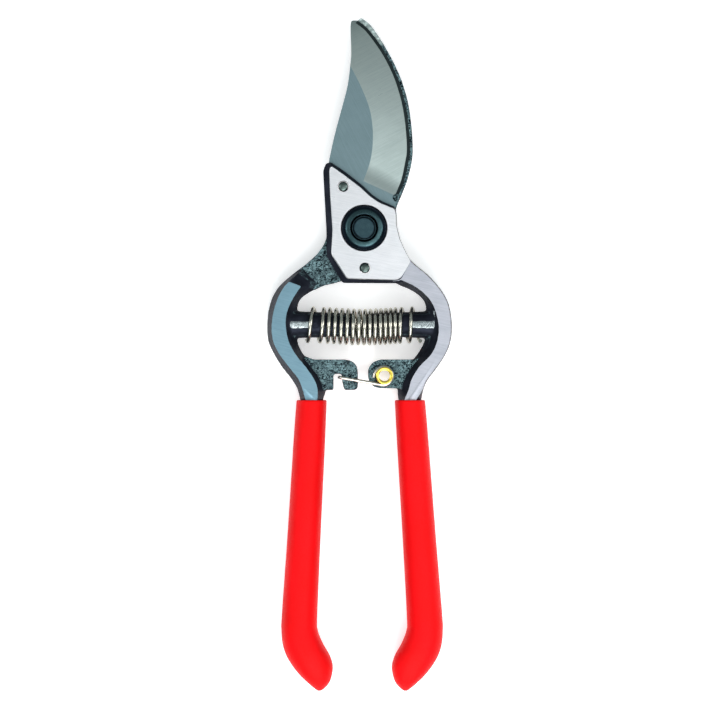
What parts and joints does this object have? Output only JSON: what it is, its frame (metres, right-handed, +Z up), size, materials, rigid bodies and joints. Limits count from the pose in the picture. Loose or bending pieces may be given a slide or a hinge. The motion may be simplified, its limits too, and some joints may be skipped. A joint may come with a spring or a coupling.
{
  "type": "bypass pruner",
  "caption": "Hand pruner with forged handles, dipped grips, a curved bypass blade over a hooked jaw, a coil return spring and a wire latch.",
  "frame": {"origin": "on the pivot's axis, on the back face of the pivot bolt's head, which rests on the table", "axes": "the tool lies flat: +Y from the grips to the blade's tip, +Z up from the table through the pivot to the nut, +X to the blade's edge side"},
  "size_m": [0.0629, 0.2288, 0.0175],
  "materials": {
    "forged_steel": "dark forged scale with a ground upper face",
    "ground_steel": "ground and brushed, black in its bevels",
    "blade_steel": "satin ground, grey with a slight green cast",
    "dark_steel": "blackened steel, semi-gloss",
    "spring_steel": "bright drawn wire",
    "brass": "bright yellow brass",
    "grip_vinyl": "dipped red vinyl, satin"
  },
  "bodies": {
    "hook_half": {"hook_handle": "forged_steel", "left_grip": "grip_vinyl", "pivot_bolt": "dark_steel", "pivot_washer": "spring_steel", "pivot_nut": "dark_steel", "return_spring": "spring_steel"},
    "blade_half": {"blade_handle": "ground_steel", "blade": "blade_steel", "blade_pin_upper": "dark_steel", "blade_pin_lower": "dark_steel", "right_grip": "grip_vinyl", "latch_eyelet": "brass"},
    "latch": {"latch_bail": "spring_steel"}
  },
  "joints": [
    {"name": "pivot", "type": "hinge", "parent": "hook_half", "child": "blade_half", "pos_m": [0, 0, 0], "axis": [0, 0, 1], "range_deg": [-1, 30], "deforming": ["return_spring", "latch_bail"]},
    {"name": "latch_swing", "type": "hinge", "parent": "blade_half", "child": "latch", "pos_m": [0.0069, -0.05, 0], "axis": [0, 0, 1], "range_deg": [0, 90]}
  ]
}
